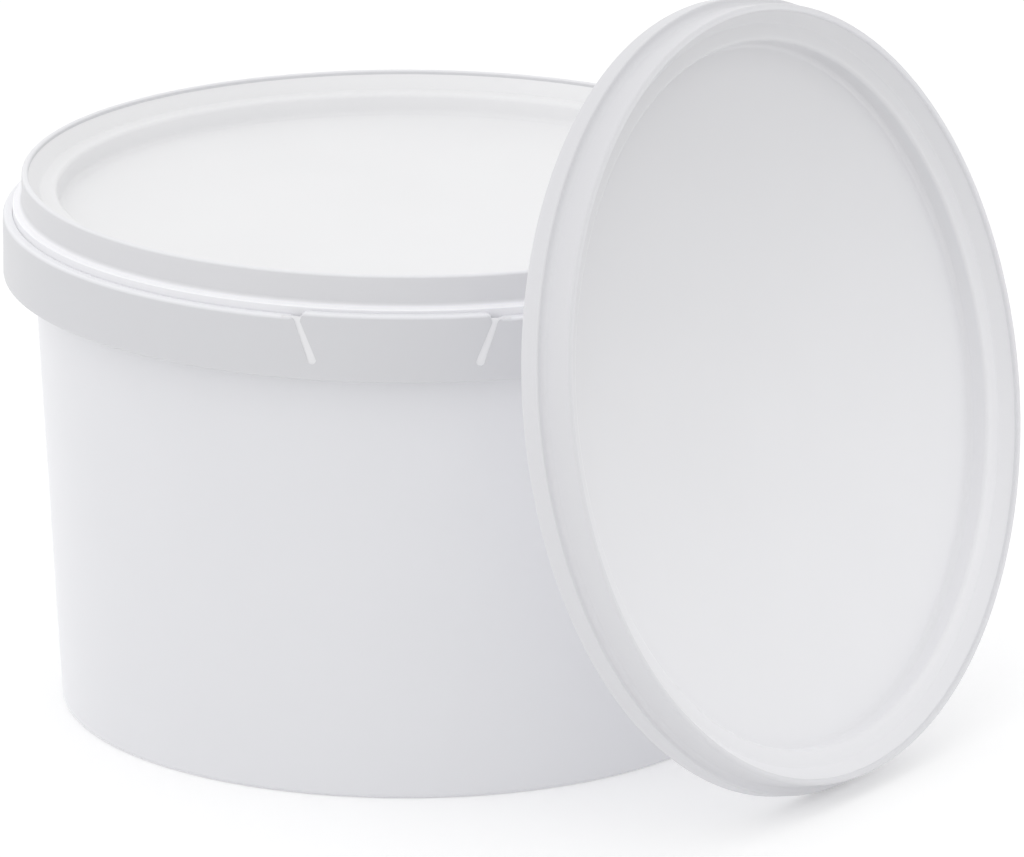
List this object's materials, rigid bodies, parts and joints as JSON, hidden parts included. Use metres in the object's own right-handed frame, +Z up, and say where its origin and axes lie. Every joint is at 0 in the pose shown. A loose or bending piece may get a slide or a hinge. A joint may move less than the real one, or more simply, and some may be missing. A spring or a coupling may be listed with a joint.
{
  "type": "plastic food container",
  "caption": "Round plastic food tub with a tear-tab collar and a seated press-on lid, and a spare lid of the same kind leaning on it.",
  "frame": {"origin": "on the ground, under the middle of the tub and the leaning lid together", "axes": "+Z up along the tub's axis, +X the way the leaning lid stands out from the tub, +Y to the left of that"},
  "size_m": [0.1592, 0.1366, 0.1271],
  "materials": {
    "tub_plastic": "satin white polypropylene",
    "lid_plastic": "satin white polypropylene"
  },
  "bodies": {
    "root": {"tub": "tub_plastic", "lid": "lid_plastic", "loose_lid": "lid_plastic"}
  },
  "joints": []
}
